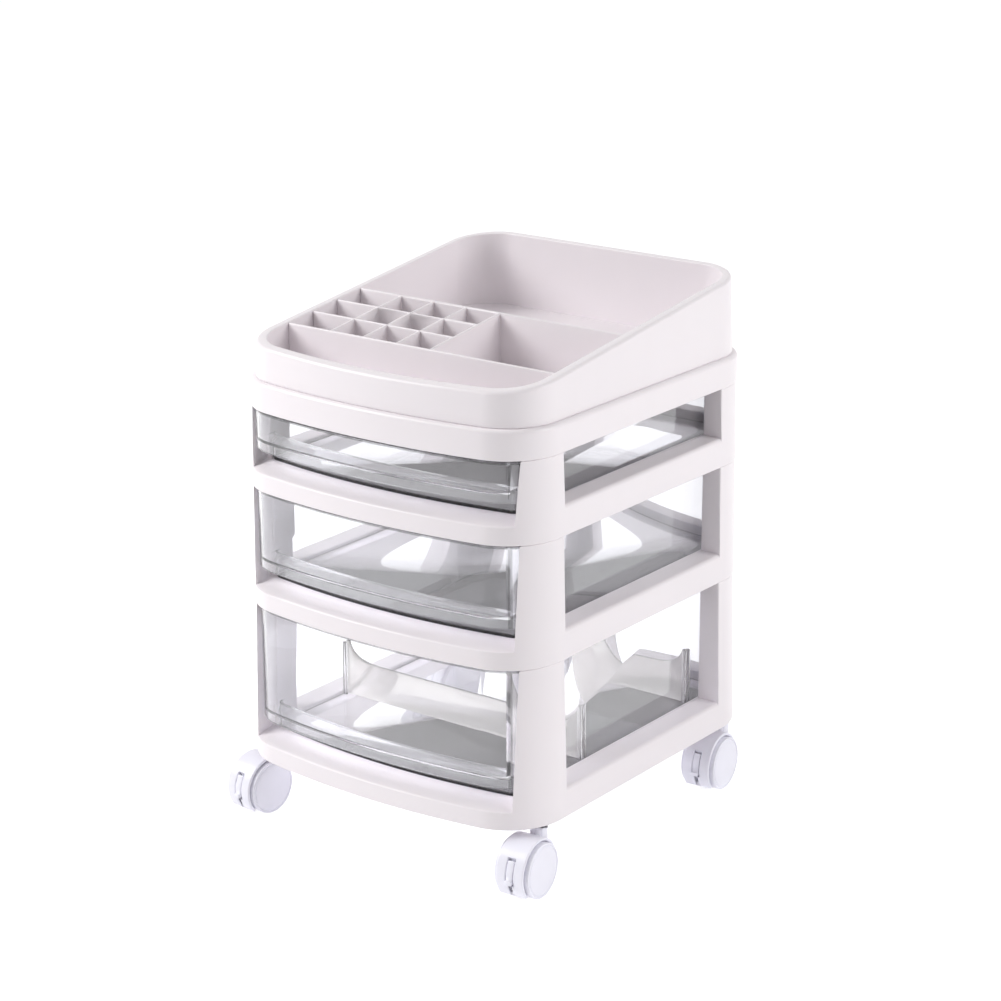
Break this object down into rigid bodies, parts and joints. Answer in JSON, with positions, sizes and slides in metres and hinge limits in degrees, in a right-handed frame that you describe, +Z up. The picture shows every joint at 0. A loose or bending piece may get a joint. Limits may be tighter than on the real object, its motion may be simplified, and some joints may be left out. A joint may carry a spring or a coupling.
{
  "type": "cosmetic storage drawer tower",
  "caption": "Rolling tower of stacked bow-fronted tier frames with clear pull-out drawers and a slanted, divided open tray on top.",
  "frame": {"origin": "on the floor, under the middle of the body", "axes": "+Z up; the front with the drawer pulls faces -Y; +X is on the right in a view of the front"},
  "size_m": [0.2776, 0.3084, 0.3937],
  "materials": {
    "body_plastic": "satin moulded polypropylene, warm white",
    "clear_plastic": "clear moulded polystyrene",
    "divider_plastic": "clear moulded polystyrene, faintly milky",
    "caster_plastic": "smooth moulded nylon, cool white",
    "steel": "bright plated steel"
  },
  "bodies": {
    "tower": {"lower_tier_frame": "body_plastic", "middle_tier_frame": "body_plastic", "upper_tier_frame": "body_plastic", "top_frame": "body_plastic", "caster_stems": "steel"},
    "tray": {"top_tray": "body_plastic", "tray_partitions": "body_plastic"},
    "lower_drawer": {"lower_drawer": "clear_plastic"},
    "middle_drawer": {"middle_drawer": "clear_plastic"},
    "upper_drawer": {"upper_drawer": "clear_plastic"},
    "front_divider": {"front_drawer_divider": "divider_plastic"},
    "rear_divider": {"rear_drawer_divider": "divider_plastic"},
    "caster_front_right_swivel": {"caster_front_right_hood": "caster_plastic", "caster_front_right_axle": "steel"},
    "caster_front_right_wheel_a": {"caster_front_right_wheel_a": "caster_plastic"},
    "caster_front_right_wheel_b": {"caster_front_right_wheel_b": "caster_plastic"},
    "caster_front_right_brake_lever": {"caster_front_right_brake_lever": "caster_plastic"},
    "caster_rear_right_swivel": {"caster_rear_right_hood": "caster_plastic", "caster_rear_right_axle": "steel"},
    "caster_rear_right_wheel_a": {"caster_rear_right_wheel_a": "caster_plastic"},
    "caster_rear_right_wheel_b": {"caster_rear_right_wheel_b": "caster_plastic"},
    "caster_rear_right_brake_lever": {"caster_rear_right_brake_lever": "caster_plastic"},
    "caster_front_left_swivel": {"caster_front_left_hood": "caster_plastic", "caster_front_left_axle": "steel"},
    "caster_front_left_wheel_a": {"caster_front_left_wheel_a": "caster_plastic"},
    "caster_front_left_wheel_b": {"caster_front_left_wheel_b": "caster_plastic"},
    "caster_front_left_brake_lever": {"caster_front_left_brake_lever": "caster_plastic"},
    "caster_rear_left_swivel": {"caster_rear_left_hood": "caster_plastic", "caster_rear_left_axle": "steel"},
    "caster_rear_left_wheel_a": {"caster_rear_left_wheel_a": "caster_plastic"},
    "caster_rear_left_wheel_b": {"caster_rear_left_wheel_b": "caster_plastic"},
    "caster_rear_left_brake_lever": {"caster_rear_left_brake_lever": "caster_plastic"}
  },
  "joints": [
    {"name": "tray_lift", "type": "slide", "parent": "tower", "child": "tray", "axis": [0, 0, 1], "range_m": [0, 0.06]},
    {"name": "lower_drawer_slide", "type": "slide", "parent": "tower", "child": "lower_drawer", "axis": [0, -1, 0], "range_m": [0, 0.2]},
    {"name": "middle_drawer_slide", "type": "slide", "parent": "tower", "child": "middle_drawer", "axis": [0, -1, 0], "range_m": [0, 0.2]},
    {"name": "upper_drawer_slide", "type": "slide", "parent": "tower", "child": "upper_drawer", "axis": [0, -1, 0], "range_m": [0, 0.2]},
    {"name": "front_divider_lift", "type": "slide", "parent": "lower_drawer", "child": "front_divider", "axis": [0, 0, 1], "range_m": [0, 0.05]},
    {"name": "rear_divider_lift", "type": "slide", "parent": "lower_drawer", "child": "rear_divider", "axis": [0, 0, 1], "range_m": [0, 0.05]},
    {"name": "caster_front_right_swivel_turn", "type": "hinge", "parent": "tower", "child": "caster_front_right_swivel", "pos_m": [0.1215, -0.112, 0.046], "axis": [0, 0, 1], "continuous": true},
    {"name": "caster_front_right_wheel_a_roll", "type": "hinge", "parent": "caster_front_right_swivel", "child": "caster_front_right_wheel_a", "pos_m": [0.12279, -0.12845, 0.02], "axis": [0.9969, 0.0785, 0], "continuous": true},
    {"name": "caster_front_right_wheel_b_roll", "type": "hinge", "parent": "caster_front_right_swivel", "child": "caster_front_right_wheel_b", "pos_m": [0.12279, -0.12845, 0.02], "axis": [0.9969, 0.0785, 0], "continuous": true},
    {"name": "caster_front_right_brake_lever_press", "type": "hinge", "parent": "caster_front_right_swivel", "child": "caster_front_right_brake_lever", "pos_m": [0.12429, -0.14746, 0.03057], "axis": [0.9969, 0.0785, 0], "range_deg": [-20, 0]},
    {"name": "caster_rear_right_swivel_turn", "type": "hinge", "parent": "tower", "child": "caster_rear_right_swivel", "pos_m": [0.1215, 0.1225, 0.046], "axis": [0, 0, 1], "continuous": true},
    {"name": "caster_rear_right_wheel_a_roll", "type": "hinge", "parent": "caster_rear_right_swivel", "child": "caster_rear_right_wheel_a", "pos_m": [0.12279, 0.10605, 0.02], "axis": [0.9969, 0.0785, 0], "continuous": true},
    {"name": "caster_rear_right_wheel_b_roll", "type": "hinge", "parent": "caster_rear_right_swivel", "child": "caster_rear_right_wheel_b", "pos_m": [0.12279, 0.10605, 0.02], "axis": [0.9969, 0.0785, 0], "continuous": true},
    {"name": "caster_rear_right_brake_lever_press", "type": "hinge", "parent": "caster_rear_right_swivel", "child": "caster_rear_right_brake_lever", "pos_m": [0.12429, 0.08704, 0.03057], "axis": [0.9969, 0.0785, 0], "range_deg": [-20, 0]},
    {"name": "caster_front_left_swivel_turn", "type": "hinge", "parent": "tower", "child": "caster_front_left_swivel", "pos_m": [-0.1215, -0.112, 0.046], "axis": [0, 0, 1], "continuous": true},
    {"name": "caster_front_left_wheel_a_roll", "type": "hinge", "parent": "caster_front_left_swivel", "child": "caster_front_left_wheel_a", "pos_m": [-0.12279, -0.12845, 0.02], "axis": [0.9969, -0.0785, 0], "continuous": true},
    {"name": "caster_front_left_wheel_b_roll", "type": "hinge", "parent": "caster_front_left_swivel", "child": "caster_front_left_wheel_b", "pos_m": [-0.12279, -0.12845, 0.02], "axis": [0.9969, -0.0785, 0], "continuous": true},
    {"name": "caster_front_left_brake_lever_press", "type": "hinge", "parent": "caster_front_left_swivel", "child": "caster_front_left_brake_lever", "pos_m": [-0.12429, -0.14746, 0.03057], "axis": [0.9969, -0.0785, 0], "range_deg": [-20, 0]},
    {"name": "caster_rear_left_swivel_turn", "type": "hinge", "parent": "tower", "child": "caster_rear_left_swivel", "pos_m": [-0.1215, 0.1225, 0.046], "axis": [0, 0, 1], "continuous": true},
    {"name": "caster_rear_left_wheel_a_roll", "type": "hinge", "parent": "caster_rear_left_swivel", "child": "caster_rear_left_wheel_a", "pos_m": [-0.12279, 0.10605, 0.02], "axis": [0.9969, -0.0785, 0], "continuous": true},
    {"name": "caster_rear_left_wheel_b_roll", "type": "hinge", "parent": "caster_rear_left_swivel", "child": "caster_rear_left_wheel_b", "pos_m": [-0.12279, 0.10605, 0.02], "axis": [0.9969, -0.0785, 0], "continuous": true},
    {"name": "caster_rear_left_brake_lever_press", "type": "hinge", "parent": "caster_rear_left_swivel", "child": "caster_rear_left_brake_lever", "pos_m": [-0.12429, 0.08704, 0.03057], "axis": [0.9969, -0.0785, 0], "range_deg": [-20, 0]}
  ]
}
